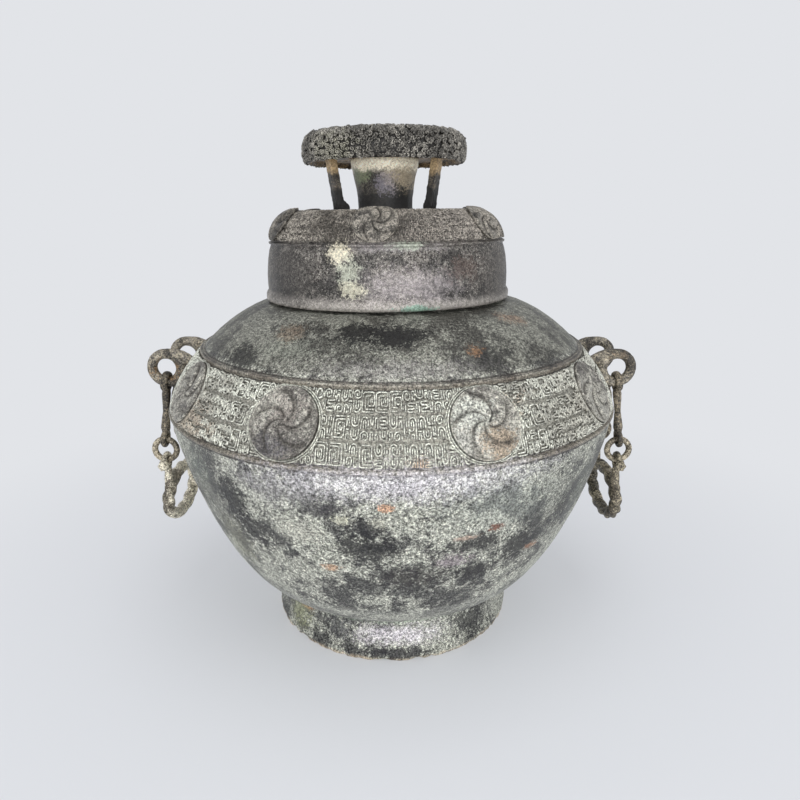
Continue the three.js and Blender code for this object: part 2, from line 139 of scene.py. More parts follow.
def meshed(name, bm):
    """Turns a bmesh into a mesh."""
    mesh = bpy.data.meshes.new(name)
    bm.to_mesh(mesh)
    bm.free()
    return mesh


def stood(name, data):
    """Puts a mesh, lamp or camera into the scene."""
    thing = bpy.data.objects.new(name, data)
    bpy.context.collection.objects.link(thing)
    return thing


def cast(name, bm, material, body, slot, *nodes):
    """Makes a mesh piece that rides on a body and stands for CAD nodes."""
    mesh = meshed(name, bm)
    mesh.materials.append(material)
    mesh.shade_smooth()
    piece = stood(name, mesh)
    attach(piece, body)
    if nodes:
        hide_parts(*nodes)
    return piece


def join_in(bm, part):
    """Adds another bmesh to this one."""
    mesh = meshed("part", part)
    bm.from_mesh(mesh)
    bpy.data.meshes.remove(mesh)


def tone(code):
    """A colour written as a web code, as the linear values that Blender takes."""
    parts = [int(code[start : start + 2], 16) / 255 for start in (0, 2, 4)]
    linear = [p / 12.92 if p <= 0.04045 else ((p + 0.055) / 1.055) ** 2.4 for p in parts]
    return (*linear, 1)


def new_group(name, inputs, outputs):
    """A shader node group, the sockets that come into it and those that go out."""
    group = bpy.data.node_groups.new(name, "ShaderNodeTree")
    for label, kind in inputs:
        group.interface.new_socket(label, in_out="INPUT", socket_type="NodeSocket" + kind)
    for label, kind in outputs:
        group.interface.new_socket(label, in_out="OUTPUT", socket_type="NodeSocket" + kind)
    return group, group.nodes.new("NodeGroupInput").outputs, group.nodes.new("NodeGroupOutput").inputs


def feed(tree, socket, value):
    """Links a socket to another, or sets it to a value."""
    if isinstance(value, bpy.types.NodeSocket):
        tree.links.new(value, socket)
    else:
        socket.default_value = value


def node(tree, kind, sockets, **settings):
    """A shader node with its settings made, and its sockets linked or set."""
    made = tree.nodes.new("ShaderNode" + kind)
    for label, value in settings.items():
        setattr(made, label, value)
    for label, value in sockets.items():
        feed(tree, made.inputs[label], value)
    return made.outputs


def noise_field(tree, position, scale, detail, roughness):
    sockets = {"Vector": position, "Scale": scale, "Detail": detail, "Roughness": roughness}
    return node(tree, "TexNoise", sockets)["Fac"]


def maths(tree, operation, a, b=0.0, c=0.0, clamp=False):
    return node(tree, "Math", {0: a, 1: b, 2: c}, operation=operation, use_clamp=clamp)[0]


def ramp(tree, value, low, high, to_low=0.0, to_high=1.0):
    sockets = {"Value": value, "From Min": low, "From Max": high, "To Min": to_low, "To Max": to_high}
    return node(tree, "MapRange", sockets, interpolation_type="SMOOTHSTEP")["Result"]


def blend(tree, share, a, b):
    return node(tree, "Mix", {"Factor": share, "A": a, "B": b}, data_type="RGBA")["Result"]


# Old bronze skin: ragged dark patches, a granular ground and fine pale threads of mineral crust.
skin, skin_in, skin_out = new_group(
    "Old bronze skin",
    [("Position", "Vector"), ("Dark", "Color"), ("Middle", "Color"), ("Pale", "Color")]
    + [("Bare", "Float"), ("Crust", "Float"), ("Speckle", "Float")],
    [("Color", "Color"), ("Grain", "Float"), ("Roughness", "Float"), ("Height", "Float")],
)
place = skin_in["Position"]
clouds, blotches, grain, fine, veins, flecks = [
    noise_field(skin, place, *look)
    for look in ((30, 9, 0.66), (110, 8, 0.72), (520, 4, 0.8), (1300, 2, 0.8), (230, 3, 0.6), (560, 6, 0.9))
]
spread = maths(skin, "MULTIPLY_ADD", clouds, 0.6, maths(skin, "MULTIPLY", blotches, 0.4))
ragged_spread = maths(skin, "MULTIPLY_ADD", grain, 0.16, spread)
bare_edge = maths(skin, "MULTIPLY_ADD", skin_in["Bare"], 0.24, 0.46)
bare_low = maths(skin, "SUBTRACT", bare_edge, 0.025)
covered = ramp(skin, ragged_spread, bare_low, maths(skin, "ADD", bare_edge, 0.05))
colour = blend(skin, covered, skin_in["Dark"], skin_in["Middle"])
near_vein = maths(skin, "ABSOLUTE", maths(skin, "SUBTRACT", veins, 0.5))
vein_mask = ramp(skin, near_vein, 0.05, 0.0)
crumbs = ramp(skin, maths(skin, "MULTIPLY_ADD", fine, 0.45, grain), 0.7, 0.8)
crust = maths(skin, "MAXIMUM", maths(skin, "MULTIPLY", vein_mask, 0.7), crumbs)
crust_area = ramp(skin, spread, 0.42, 0.54)
crust = maths(skin, "MULTIPLY", crust, maths(skin, "MULTIPLY_ADD", crust_area, 0.8, 0.2))
crust = maths(skin, "MULTIPLY", crust, skin_in["Crust"], clamp=True)
colour = blend(skin, crust, colour, skin_in["Pale"])
specks = ramp(skin, fine, 0.655, 0.71, 0.0, 0.85)
colour = blend(skin, specks, colour, skin_in["Pale"])
speckle = ramp(skin, maths(skin, "MULTIPLY_ADD", fine, 0.35, flecks), 0.56, 0.8, -0.8, 0.85)
speckle = maths(skin, "MULTIPLY_ADD", speckle, skin_in["Speckle"], 1)
roughness = ramp(skin, maths(skin, "ADD", crust, grain), 0.4, 1.2, 0.36, 0.72)
pits = maths(skin, "MULTIPLY_ADD", ramp(skin, fine, 0.34, 0.5), 0.35, grain)
bumps = maths(skin, "MULTIPLY_ADD", crust, 0.5, pits)
for label, value in (("Color", colour), ("Grain", speckle), ("Roughness", roughness), ("Height", bumps)):
    feed(skin, skin_out[label], value)

# A patch mask: a ragged, grainy patch about a place, used for stained patches and for painted sheens.
stain_and_sheen, stain_and_sheen_in, stain_and_sheen_out = new_group(
    "Stain and sheen",
    [("Position", "Vector"), ("Centre", "Vector"), ("Reach", "Vector"), ("Fray", "Float"), ("Soft", "Float")],
    [("Mask", "Float")],
)
spot = stain_and_sheen_in["Position"]
away = node(stain_and_sheen, "VectorMath", {0: spot, 1: stain_and_sheen_in["Centre"]}, operation="SUBTRACT")
away = node(stain_and_sheen, "VectorMath", {0: away[0], 1: stain_and_sheen_in["Reach"]}, operation="DIVIDE")
away = node(stain_and_sheen, "VectorMath", {0: away[0]}, operation="LENGTH")["Value"]
sway = noise_field(stain_and_sheen, spot, 150, 9, 0.75)
crumble = noise_field(stain_and_sheen, spot, 600, 3, 0.8)
ragged = maths(stain_and_sheen, "MULTIPLY_ADD", crumble, 0.6, sway)
ragged = maths(stain_and_sheen, "MULTIPLY", maths(stain_and_sheen, "SUBTRACT", ragged, 0.8), stain_and_sheen_in["Fray"])
edge = maths(stain_and_sheen, "MULTIPLY_ADD", ragged, 2.4, away)
inner_edge = maths(stain_and_sheen, "SUBTRACT", 1.05, stain_and_sheen_in["Soft"])
feed(stain_and_sheen, stain_and_sheen_out["Mask"], ramp(stain_and_sheen, edge, 1.05, inner_edge))


def on_jar(degrees, radius, height):
    """A place at an angle from the front, a radius and a height, in millimetres."""
    angle = math.radians(degrees)
    return (radius * math.sin(angle) * mm, -radius * math.cos(angle) * mm, height * mm)


def painted(name):
    """A new material, its node tree and the inputs of its surface."""
    material = bpy.data.materials.new(name)
    material.use_nodes = True
    return material, material.node_tree, material.node_tree.nodes["Principled BSDF"].inputs


def old_bronze(
    name, dark, middle, pale, bare, crust, stains_and_sheens=(), recess=None, shade=(), metal=0.3, bump=0.3, speckle=1
):
    """Patinated bronze. Bare is the share left dark, crust the share of pale mineral. A stained patch
    or a painted sheen is (place, reach, fray, colour, strength), with its place as on_jar takes it.
    A recess is the colour in the hollows of a relief, and shade a list of (low, high, colour, strength)
    rings. Millimetres."""
    material, tree, surface = painted(name)
    position = node(tree, "TexCoord", {})["Object"]
    tones = {"Dark": tone(dark), "Middle": tone(middle), "Pale": tone(pale)}
    spread = {"Position": position, "Bare": bare, "Crust": crust, "Speckle": speckle}
    patina = node(tree, "Group", {**tones, **spread}, node_tree=skin)
    colour = patina["Color"]
    height = node(tree, "SeparateXYZ", {0: position})["Z"]
    for low, high, ring, strength in shade:
        half = (high - low) * mm / 2
        fray = min(half * 2, 9 * mm)
        sway = maths(tree, "SUBTRACT", noise_field(tree, position, 150, 9, 0.75), 0.5)
        level = maths(tree, "MULTIPLY_ADD", sway, fray * 1.6, height)
        far = maths(tree, "ABSOLUTE", maths(tree, "SUBTRACT", level, (low + high) * mm / 2))
        mask = ramp(tree, far, half + fray * 0.25, half - fray * 0.35, 0.0, strength)
        colour = blend(tree, mask, colour, tone(ring))
    for centre, reach, fray, stain_and_sheen_colour, strength in stains_and_sheens:
        sockets = {"Position": position, "Centre": on_jar(*centre), "Reach": [size * mm for size in reach]}
        sockets |= {"Fray": fray, "Soft": 1.0 if fray <= 1 else 0.4}
        mask = node(tree, "Group", sockets, node_tree=stain_and_sheen)["Mask"]
        colour = blend(tree, maths(tree, "MULTIPLY", mask, strength), colour, tone(stain_and_sheen_colour))
    if recess:
        # Hollows of a relief take the recess colour, broken by wear noise; on the roundels, the crown's curls
        # and its plate this is painted shade.
        proud = node(tree, "Attribute", {}, attribute_name="Proud")
        wear = noise_field(tree, position, 240, 6, 0.7)
        wear_and_hollow_shade = maths(tree, "MULTIPLY_ADD", wear, 0.7, proud["Fac"])
        colour = blend(tree, ramp(tree, wear_and_hollow_shade, 0.4, 1.15), tone(recess), colour)
    relief = node(tree, "Bump", {"Distance": 0.8 * mm, "Strength": bump, "Height": patina["Height"]})
    grainy = node(tree, "VectorMath", {0: colour, "Scale": patina["Grain"]}, operation="SCALE")
    feed(tree, surface["Base Color"], grainy["Vector"])
    feed(tree, surface["Roughness"], patina["Roughness"])
    feed(tree, surface["Metallic"], metal)
    feed(tree, surface["Normal"], relief["Normal"])
    return material


widest = (belly_radius, belly_height)
lower_belly = Outline((belly_start, foot_height), (137 * mm, 50 * mm), (belly_radius, 159 * mm), widest)
shoulder_end = (shoulder_radius, shoulder_height)
shoulder = Outline(widest, (belly_radius, 197 * mm), (124 * mm, 245.8 * mm), shoulder_end)
band_low = cord_size
band_high = shoulder.along_at(belly_height + band_height)
floor_top = foot_height + jar_wall * 0.6
floor_under = floor_top - jar_wall
recess_radius = foot_waist - foot_wall
row_height = (band_high - band_low - cord_size * 2) / 3
seam_half = 0.4 * mm
seam_depth = 0.9 * mm
band_ground = []
for row in range(3):
    row_foot = band_low + cord_size + row * row_height
    if row:
        band_ground.append(shoulder.at(row_foot, -band_sink - seam_depth))
    band_ground += shoulder.stretch(row_foot + seam_half, row_foot + row_height - seam_half, 5, -band_sink)
jar_points = [
    (0, floor_under),
    (recess_radius - foot_fillet, floor_under),
    (recess_radius - foot_fillet * 0.3, floor_under - foot_fillet * 0.2),
    (recess_radius, floor_under - foot_fillet),
    (recess_radius + 1 * mm, 8 * mm),
    (foot_radius - foot_wall, 1 * mm),
    (foot_radius - foot_wall + 0.7 * mm, 0),
    *[(foot_radius - x * mm, z * mm) for x, z in ((0.7, 0), (0.1, 0.8), (0.2, 4.5), (1.6, 8.5))],
    *[(foot_waist + x * mm, z * mm) for x, z in ((0.3, 13), (0, 20), (0, 28), (0.6, 33))],
    (foot_waist + 1.7 * mm, foot_height - 1 * mm),
    *lower_belly.stretch(0, lower_belly.length * 0.985, 60),
    *shoulder.cord(band_low, cord_size * 0.97),
    *band_ground,
    *shoulder.cord(band_high, cord_size),
    *shoulder.stretch(band_high + cord_size * 1.1, shoulder.length, 34),
    (neck_radius + 5 * mm, shoulder_height + 1.6 * mm),
    (neck_radius + 1.6 * mm, shoulder_height + 4 * mm),
    (neck_radius, neck_foot + 5 * mm),
    (neck_radius, mouth_height - 5.4 * mm),
    (neck_radius + mouth_rim * 0.9, mouth_height - 3 * mm),
    (neck_radius + mouth_rim, mouth_height - 0.9 * mm),
    (neck_radius + mouth_rim - 0.8 * mm, mouth_height),
    (neck_radius - jar_wall + 0.8 * mm, mouth_height),
    (neck_radius - jar_wall, mouth_height - 0.8 * mm),
    (neck_radius - jar_wall, shoulder_height - jar_wall),
    *shoulder.stretch(shoulder.length * 0.86, 0, 24, -jar_wall),
    *lower_belly.stretch(lower_belly.length, lower_belly.length * 0.08, 30, -jar_wall),
    (belly_start - foot_fillet, floor_top),
    (0, floor_top),
]
jar = turned(jar_points, 200)
uneven(jar, 0.5 * mm, 16 * mm)
uneven(jar, 0.35 * mm, 4 * mm)
for vert in jar.verts:
    if vert.co.z < 7 * mm and vert.co.xy.length > recess_radius:
        chip = max(0, noise.noise(vert.co / (8 * mm)) - 0.05) + 0.5 * max(0, noise.noise(vert.co / (3 * mm)))
        vert.co.z = max(vert.co.z, 0) + 3.6 * mm * chip * (1 - vert.co.z / (7 * mm))
        vert.co.xy *= 1 - 0.012 * chip
jar_stains_and_sheens = [
    # Painted sheen: a broad pale lilac patch across the front of the belly, under the band.
    ((3, 166, 171), (125, 90, 17), 0.8, "dedade", 0.66),
    ((-24, 166, 160), (60, 60, 16), 0.9, "bdbbb9", 0.4),
    ((26, 166, 150), (60, 60, 26), 0.9, "aab0a8", 0.4),
    ((-37, 159, 145), (12, 16, 20), 1.4, "1e1c1f", 0.85),
    ((-33, 154, 124), (17, 17, 13), 1.6, "1e1c20", 0.85),
    ((-13, 161, 151), (13, 14, 7), 1.6, "333135", 0.75),
    ((-5, 158, 140), (12, 14, 7), 1.6, "242226", 0.8),
    ((-5, 153, 125), (20, 18, 11), 1.6, "1b1a1e", 0.85),
    ((-20, 156, 132), (15, 20, 9), 1.6, "b9b8ac", 0.55),
    ((-10, 160, 146), (7, 10, 4), 1.4, "cbcab6", 0.7),
    ((-2, 162, 145), (5, 10, 4), 1.4, "c5c4b4", 0.6),
    ((-0.5, 163, 155), (4.5, 9, 3), 1.4, "d2a889", 0.85),
    ((20, 155, 124), (18, 20, 8), 1.6, "201e22", 0.85),
    ((33, 150, 113), (16, 18, 15), 1.5, "1c1a1f", 0.85),
    ((46, 154, 128), (10, 12, 13), 1.4, "29272b", 0.75),
    ((24, 158, 133), (5, 8, 3), 1.4, "70412f", 0.85),
    ((17, 158, 129), (9, 9, 2.2), 1.3, "c9b3a2", 0.6),
    ((15, 150, 111), (12, 12, 6), 1.5, "9e8e98", 0.5),
    ((6, 146, 100), (26, 20, 9), 1.6, "2a2526", 0.75),
    ((22, 144, 98), (16, 16, 9), 1.6, "1f1c20", 0.8),
    ((-14, 146, 106), (6, 9, 3), 1.4, "b99271", 0.7),
    ((38, 148, 106), (6, 9, 3), 1.4, "b98a6a", 0.6),
    ((-46, 158, 140), (60, 50, 52), 1, "383937", 0.66),
    ((46, 158, 135), (54, 50, 50), 1, "434441", 0.52),
    ((-50, 162, 158), (20, 26, 20), 1, "7f8a7e", 0.3),
    ((-44, 146, 104), (16, 18, 24), 1.2, "8c8c76", 0.35),
    ((54, 158, 138), (16, 22, 30), 1, "858a80", 0.35),
    ((-10, 110, 244), (15, 14, 7), 1.2, "141313", 0.95),
    ((2, 111, 242), (20, 16, 8), 1.2, "141313", 0.95),
    ((-44, 133, 227), (14, 16, 10), 1.3, "222120", 0.85),
    ((-30, 124, 234), (20, 16, 7), 1.3, "8d9084", 0.5),
    ((27, 130, 229), (20, 18, 8), 1.3, "262524", 0.8),
    ((-33, 114, 241), (10, 12, 5), 1.4, "85715c", 0.45),
    ((24, 124, 234), (5, 8, 3), 1.4, "9b7452", 0.5),
    ((50, 106, 246), (14, 10, 4), 1.4, "8a6e58", 0.55),
    # Painted sheen across the front of the shoulder.
    ((2, 133, 226), (75, 40, 7), 0.9, "a29e9c", 0.4),
    # Painted sheen on the front of the foot.
    ((5, 96, 20), (60, 20, 12), 0.8, "ddd6dc", 0.75),
    ((2, 97, 6.5), (26, 20, 5), 1.2, "201e24", 0.85),
    ((-24, 96, 22), (9, 12, 8), 1.4, "4a4a4c", 0.75),
    ((-44, 95, 28), (7, 9, 5), 1.4, "c08a5a", 0.75),
    ((-50, 95, 20), (18, 14, 14), 1.3, "a3a684", 0.6),
    ((42, 96, 22), (22, 16, 14), 1.4, "29282a", 0.75),
    ((30, 97, 6), (3, 6, 2), 1, "e8e6dc", 0.9),
]
jar_rings = [
    (31, 38, "8fa48e", 0.55),
    (-4, 2.5, "cbb99f", 0.7),
    (40, 64, "a9aaa2", 0.4),
    (222, 262, "45433a", 0.55),
    (179.5, 217.5, "9b998f", 0.9),
    (175.5, 180.5, "7f766a", 0.7),
    (216.8, 221, "7f766a", 0.7),
    (175, 176.3, "2b2724", 0.85),
    (179.4, 180.4, "2b2724", 0.85),
    (216.6, 217.5, "2b2724", 0.85),
    (220.3, 221.3, "2b2724", 0.8),
]
jar_bronze = old_bronze("Jar bronze", "201f22", "818278", "d6d7cb", 0.44, 0.85, jar_stains_and_sheens, shade=jar_rings)
cast("jar", jar, jar_bronze, "jar", "jar_bronze", "jar_body")

# The band
# Cast threads stand on the band in three rows: coils, hooks and bent bars, packed side by side in
# little cells that a die pressed into the mould. Their hollows are coloured darker than their tops.
thread_width = 1 * mm
thread_height = 0.78 * mm
cell_squeeze = 0.87
row_gap = 0.55 * mm


def end_ring(made):
    """The points and the rim of the newest ring of a bar."""
    ring = [part for part in made if isinstance(part, bmesh.types.BMVert)]
    edges = [part for part in made if isinstance(part, bmesh.types.BMEdge)]
    return ring, [edge for edge in edges if all(vert in ring for vert in edge.verts)]


def drawn(bm, x, y, heading, moves, section, step_angle=50):
    """A bar that starts at x, y and follows moves of (turn in degrees, radius), or (0, length)."""
    way = Matrix.Rotation(math.radians(heading), 3, "Z")
    spot = Vector((x, y, 0))
    ring = [bm.verts.new(spot + way @ Vector((0, across, up))) for across, up in section]
    rim = list(bm.faces.new(ring).edges)
    for degrees, reach in moves:
        if degrees:
            centre = spot + way @ Vector((0, math.copysign(reach, degrees), 0))
            turn = Matrix.Rotation(math.radians(degrees), 3, "Z")
            steps = max(1, round(abs(degrees) / step_angle))
            made = bmesh.ops.spin(
                bm, geom=ring + rim, cent=centre, axis=(0, 0, 1), angle=math.radians(degrees), steps=steps
            )["geom_last"]
            spot = centre + turn @ (spot - centre)
            way = turn @ way
        else:
            made = bmesh.ops.extrude_edge_only(bm, edges=rim)["geom"]
            step = way @ Vector((reach, 0, 0))
            bmesh.ops.translate(bm, vec=step, verts=end_ring(made)[0])
            spot = spot + step
        ring, rim = end_ring(made)
    bmesh.ops.contextual_create(bm, geom=rim)


def bar_section(width, height, root):
    """A thread's section: steep sides, a narrow rounded top, and a root in the wall."""
    return [(-width / 2, -root), (width / 2, -root), (width * 0.27, height), (-width * 0.27, height)]


# Each cell's threads, as (start x, start y, heading, moves) in millimetres.
coil_cell = [
    (-3.9, -2.9, 90, [(0, 3.25), (-180, 2.33), (0, 1.6), (-180, 1.55), (0, 1.5), (-180, 0.78), (0, 0.9)]),
    (2.3, -2.9, 90, [(0, 4.5), (-180, 0.78), (0, 1.9)]),
    (3.85, -2.9, 90, [(0, 1.3)]),
]
bow_cell = [
    (-3.9, 2.9, 270, [(0, 3.3), (180, 2.33), (0, 3.3)]),
    (-2.35, 2.9, 270, [(0, 3.1), (180, 0.78), (0, 2.9)]),
    (2.3, -2.9, 90, [(0, 2.7), (-180, 0.78), (0, 2.5)]),
    (2.1, 2.5, 0, [(0, 2)]),
    (2.1, 1, 0, [(0, 2)]),
]
hook_cell = [
    (-3.9, 2.5, 0, [(0, 3.9), (-180, 0.83), (0, 2.2), (180, 0.83), (0, 2.3), (-180, 0.83), (0, 3.4)]),
    (-3.9, 0.8, 270, [(0, 1.8)]),
    (2.3, 2.9, 270, [(0, 4.4), (180, 0.78), (0, 3.9)]),
]
tall_coil_cell = [
    (-3.9, -6.2, 90, [(0, 9.8), (-180, 2.33), (0, 4), (-180, 1.55), (0, 3.6), (-180, 0.78), (0, 2.2)]),
    (-2.35, -6.2, 90, [(0, 1.9), (-180, 0.78), (0, 1.7)]),
    (3.85, 6.2, 270, [(0, 9.8), (-180, 1.55), (0, 1.4), (-180, 0.78), (0, 0.8)]),
    (2.3, 6.2, 270, [(0, 5.6)]),
]
tall_nest_cell = [
    (-3.9, 6.2, 0, [(0, 6.2), (-90, 1.5), (0, 8.9), (-90, 1.5), (0, 4.6), (-90, 1.5)]
     + [(0, 6), (-90, 0.8), (0, 2.4), (-90, 0.8), (0, 4.2)]),
    (-2.3, 0.6, 270, [(0, 1.6), (180, 0.62), (0, 1.8)]),
    (-3.9, 4.6, 0, [(0, 4.8), (-90, 1), (0, 6.2), (-90, 0.9), (0, 2.4)]),
]


def cell_mesh(threads, width, height, scale=1.0):
    """One cell's threads as a mesh, to be laid many times."""
    bm = bmesh.new()
    for x, y, heading, moves in threads:
        sized = [(degrees, reach * scale * mm) for degrees, reach in moves]
        drawn(bm, x * scale * mm, y * scale * mm, heading, sized, bar_section(width, height, 0.5 * mm))
    return meshed("cell", bm)


def laid(bm, outline, angle, along, tall, holes=()):
    """Wraps a flat relief round an outline. Its Y = 0 line lies at a distance along the outline, and
    its Proud attribute runs from 0 in the hollows to 1 on the tops. Holes are places to sink under."""
    layer = bm.verts.layers.float.new("Proud")
    flat = np.array([vert.co for vert in bm.verts])
    middle, _ = outline.at(along)
    around = angle + flat[:, 0] / middle
    up = flat[:, 2].copy()
    for hole_angle, hole_along, hole_radius in holes:
        apart = (around - hole_angle + math.pi) % math.tau - math.pi
        inside = np.hypot(apart * middle, along + flat[:, 1] - hole_along) < hole_radius
        up[inside] = np.minimum(up[inside], -0.5 * mm)
    radius, height = outline.at(along + flat[:, 1], up)
    for vert, a, r, z, u in zip(bm.verts, around, radius, height, up):
        vert.co = (r * math.sin(a), -r * math.cos(a), z)
        vert[layer] = min(1.0, max(0.0, u / tall))


def cells_round(short_cells, tall_cells, count, width, height, seed):
    """A row of cells laid flat, side by side: a tall cell, or two short ones over each other."""
    pick = random.Random(seed)
    bm = bmesh.new()
    for column in range(count):
        split = pick.choice((0.42, 0.5, 0.58))
        if pick.random() < 0.5:
            stack = [(pick.choice(tall_cells), 0.5, 1)]
        else:
            halves = ((split / 2, split * 2.1), ((1 + split) / 2, (1 - split) * 2.1))
            stack = [(pick.choice(short_cells), *half) for half in halves]
        for cell, level, stretch in stack:
            known = len(bm.verts)
            bm.from_mesh(cell)
            bm.verts.ensure_lookup_table()
            sides_over = (pick.choice((-1, 1)) * cell_squeeze, pick.choice((-1, 1)) * stretch)
            turned_over = Matrix.Diagonal((*sides_over, 1, 1))
            spot = Matrix.Translation(((column + 0.5) * width, level * height, 0))
            bmesh.ops.transform(bm, matrix=spot @ turned_over, verts=bm.verts[known:])
    bmesh.ops.recalc_face_normals(bm, faces=bm.faces)
    return bm


roundel_radius = 21.4 * mm
roundel_angles = [20.3, 59, 121.5, 160.5, 199.5, 238.5, 301, 337.7]
roundel_along = (band_low + band_high) / 2
halo_radius = roundel_radius * 1.13
band_holes = [(math.radians(angle), roundel_along, halo_radius) for angle in roundel_angles]
band_stains = [
    ((-3, 163, 196), (50, 40, 26), 1.2, "c9cabd", 0.55),
    ((5.5, 165, 182), (6, 8, 5), 1.2, "cfae94", 0.8),
    ((-48, 160, 197), (44, 44, 30), 1, "969389", 0.5),
    ((48, 160, 197), (44, 44, 30), 1, "8f8a7f", 0.6),
    ((-52, 160, 186), (30, 30, 14), 1.4, "a08f7c", 0.6),
    ((30, 160, 210), (12, 12, 8), 1.3, "a88a70", 0.5),
    ((0, 165, 198), (60, 40, 26), 0.9, "e4e3d8", 0.4),
]
band_bronze = old_bronze(
    "Band bronze", "aaa99f", "cccdc1", "e4e5da", 0.35, 0.5, band_stains,
    recess="7b7970", metal=0.15, bump=0.25,
)
cells = [cell_mesh(cell, thread_width, thread_height) for cell in (coil_cell, bow_cell, hook_cell)]
tall_cells = [cell_mesh(cell, thread_width, thread_height) for cell in (tall_coil_cell, tall_nest_cell)]
cells_count = 125
for row in range(3):
    foot_line = band_low + cord_size + row * row_height + row_gap / 2
    round_here = math.tau * shoulder.at(foot_line)[0]
    band = cells_round(cells, tall_cells, cells_count, round_here / cells_count, row_height - row_gap, row)
    laid(band, shoulder, 0, foot_line, thread_height, band_holes)
    cast(f"band_row_{row + 1}", band, band_bronze, "jar", "jar_bronze")

# The whorl roundels
# Eight round bosses stand on the band and six on the lid: a sharp rim, and five comma-shaped
# lobes that turn out from the middle and run along the rim.
lobe_count = 5
lobe_turn = math.radians(110)


def roundel(radius, proud):
    """A flat roundel: a disc with a thin rim and spiral lobes."""
    root = -2 * mm
    rim = [(1, 0.5), (0.988, 0.76), (0.97, 0.8), (0.952, 0.66)]
    line = [(0, root), (1, root), *[(share, proud * level) for share, level in rim]]
    line += [(share, 0) for share in np.linspace(0.935, 0, 18)]
    bm = turned([(share * radius, height) for share, height in line], 110)
    for vert in bm.verts:
        share = vert.co.xy.length / radius
        if share < 0.94 and vert.co.z > root / 2:
            winding = math.atan2(vert.co.y, vert.co.x) - lobe_turn * (share / 0.9) ** 0.8
            across = winding / math.tau * lobe_count % 1
            ridge = min(1, across / 0.14) * (1 - across) ** 0.5
            fade = min(1, share / 0.2) * min(1, (0.95 - share) / 0.04)
            edge = 0.3 * max(0, min(1, (share - 0.84) / 0.1))
            boss_top = 0.6 * max(0, 1 - share / 0.18) ** 2
            vert.co.z = proud * (0.08 + edge + (0.88 - edge) * ridge * fade + boss_top)
    return bm


# Its dark recess colour is partly the patina in the grooves and partly painted shade.
roundel_bronze = old_bronze(
    "Roundel bronze", "66625d", "a09d94", "c7c5b9", 0.42, 0.5,
    [
        ((17, 160, 207), (16, 16, 11), 1.2, "cdd0c6", 0.6),
        ((15, 163, 192), (9, 9, 10), 1.3, "bdbcb4", 0.6),
        ((22.5, 163, 190), (12, 12, 10), 1.5, "a08a70", 0.6),
        ((-24, 163, 187), (12, 12, 8), 1.5, "504e54", 0.6),
        ((-22, 158, 208), (14, 14, 9), 1.3, "a29a92", 0.5),
    ],
    recess="3d3934",
)
roundel_proud = 2.7 * mm
for index, angle in enumerate(roundel_angles):
    boss = roundel(roundel_radius, roundel_proud)
    laid(boss, shoulder, math.radians(angle), roundel_along, 2.4 * mm)
    uneven(boss, 0.2 * mm, 3 * mm)
    cast(f"roundel_{index + 1}", boss, roundel_bronze, "jar", "jar_bronze")

halos = bmesh.new()
halos.verts.layers.float.new("Proud")
halo_sunk = -1.4 * mm
halo_section = [(-0.5, -1.2), (0.5, -1.2), (0.25, 0.5), (-0.25, 0.5), (-0.5, -1.2)]
for angle in roundel_angles:
    for ring in (1.04, 1.1):
        halo = turned([(roundel_radius * ring + x * mm, z * mm) for x, z in halo_section], 80)
        for vert in halo.verts:
            if abs(vert.co.y) > (band_high - band_low) / 2 - cord_size:
                vert.co.z = halo_sunk
        laid(halo, shoulder, math.radians(angle), roundel_along, 0.4 * mm)
        join_in(halos, halo)
cast("roundel_lines", halos, band_bronze, "jar", "jar_bronze")

# The ring ears
# Two on each side: a round bar ring cast on in a plane through the axis, with an arm over the
# shoulder and a tail down the band. The links wore them smooth and brown.
ear_hole = (166.953 * mm, 202 * mm)
ear_y = 24 * mm
ear_ring = 10.7 * mm
ear_bar = 4 * mm
sides = (("left", -1), ("right", 1))
ends = (("front", -1), ("rear", 1))


def round_section(width, height, count=12):
    """A round or oval bar's section."""
    turns = [math.tau * n / count for n in range(count)]
    return [(width * math.cos(turn), height * math.sin(turn)) for turn in turns]


def fused(name, bm, grain_size, rounds, rough, material, body, slot, *nodes):
    """Welds overlapping bars into one cast skin, smooths it and roughens it a little."""
    bmesh.ops.recalc_face_normals(bm, faces=bm.faces)
    piece = cast(name, bm, material, body, slot, *nodes)
    weld = piece.modifiers.new("Weld", "REMESH")
    weld.mode = "VOXEL"
    weld.voxel_size = grain_size
    mesh = bpy.data.meshes.new_from_object(piece.evaluated_get(bpy.context.evaluated_depsgraph_get()))
    piece.modifiers.clear()
    welded = bmesh.new()
    welded.from_mesh(mesh)
    for _ in range(rounds):
        bmesh.ops.smooth_vert(
            welded, verts=welded.verts, factor=0.5, use_axis_x=True, use_axis_y=True, use_axis_z=True
        )
    uneven(welded, rough, 2.6 * mm)
    welded.to_mesh(piece.data)
    welded.free()
    bpy.data.meshes.remove(mesh)
    piece.data.shade_smooth()


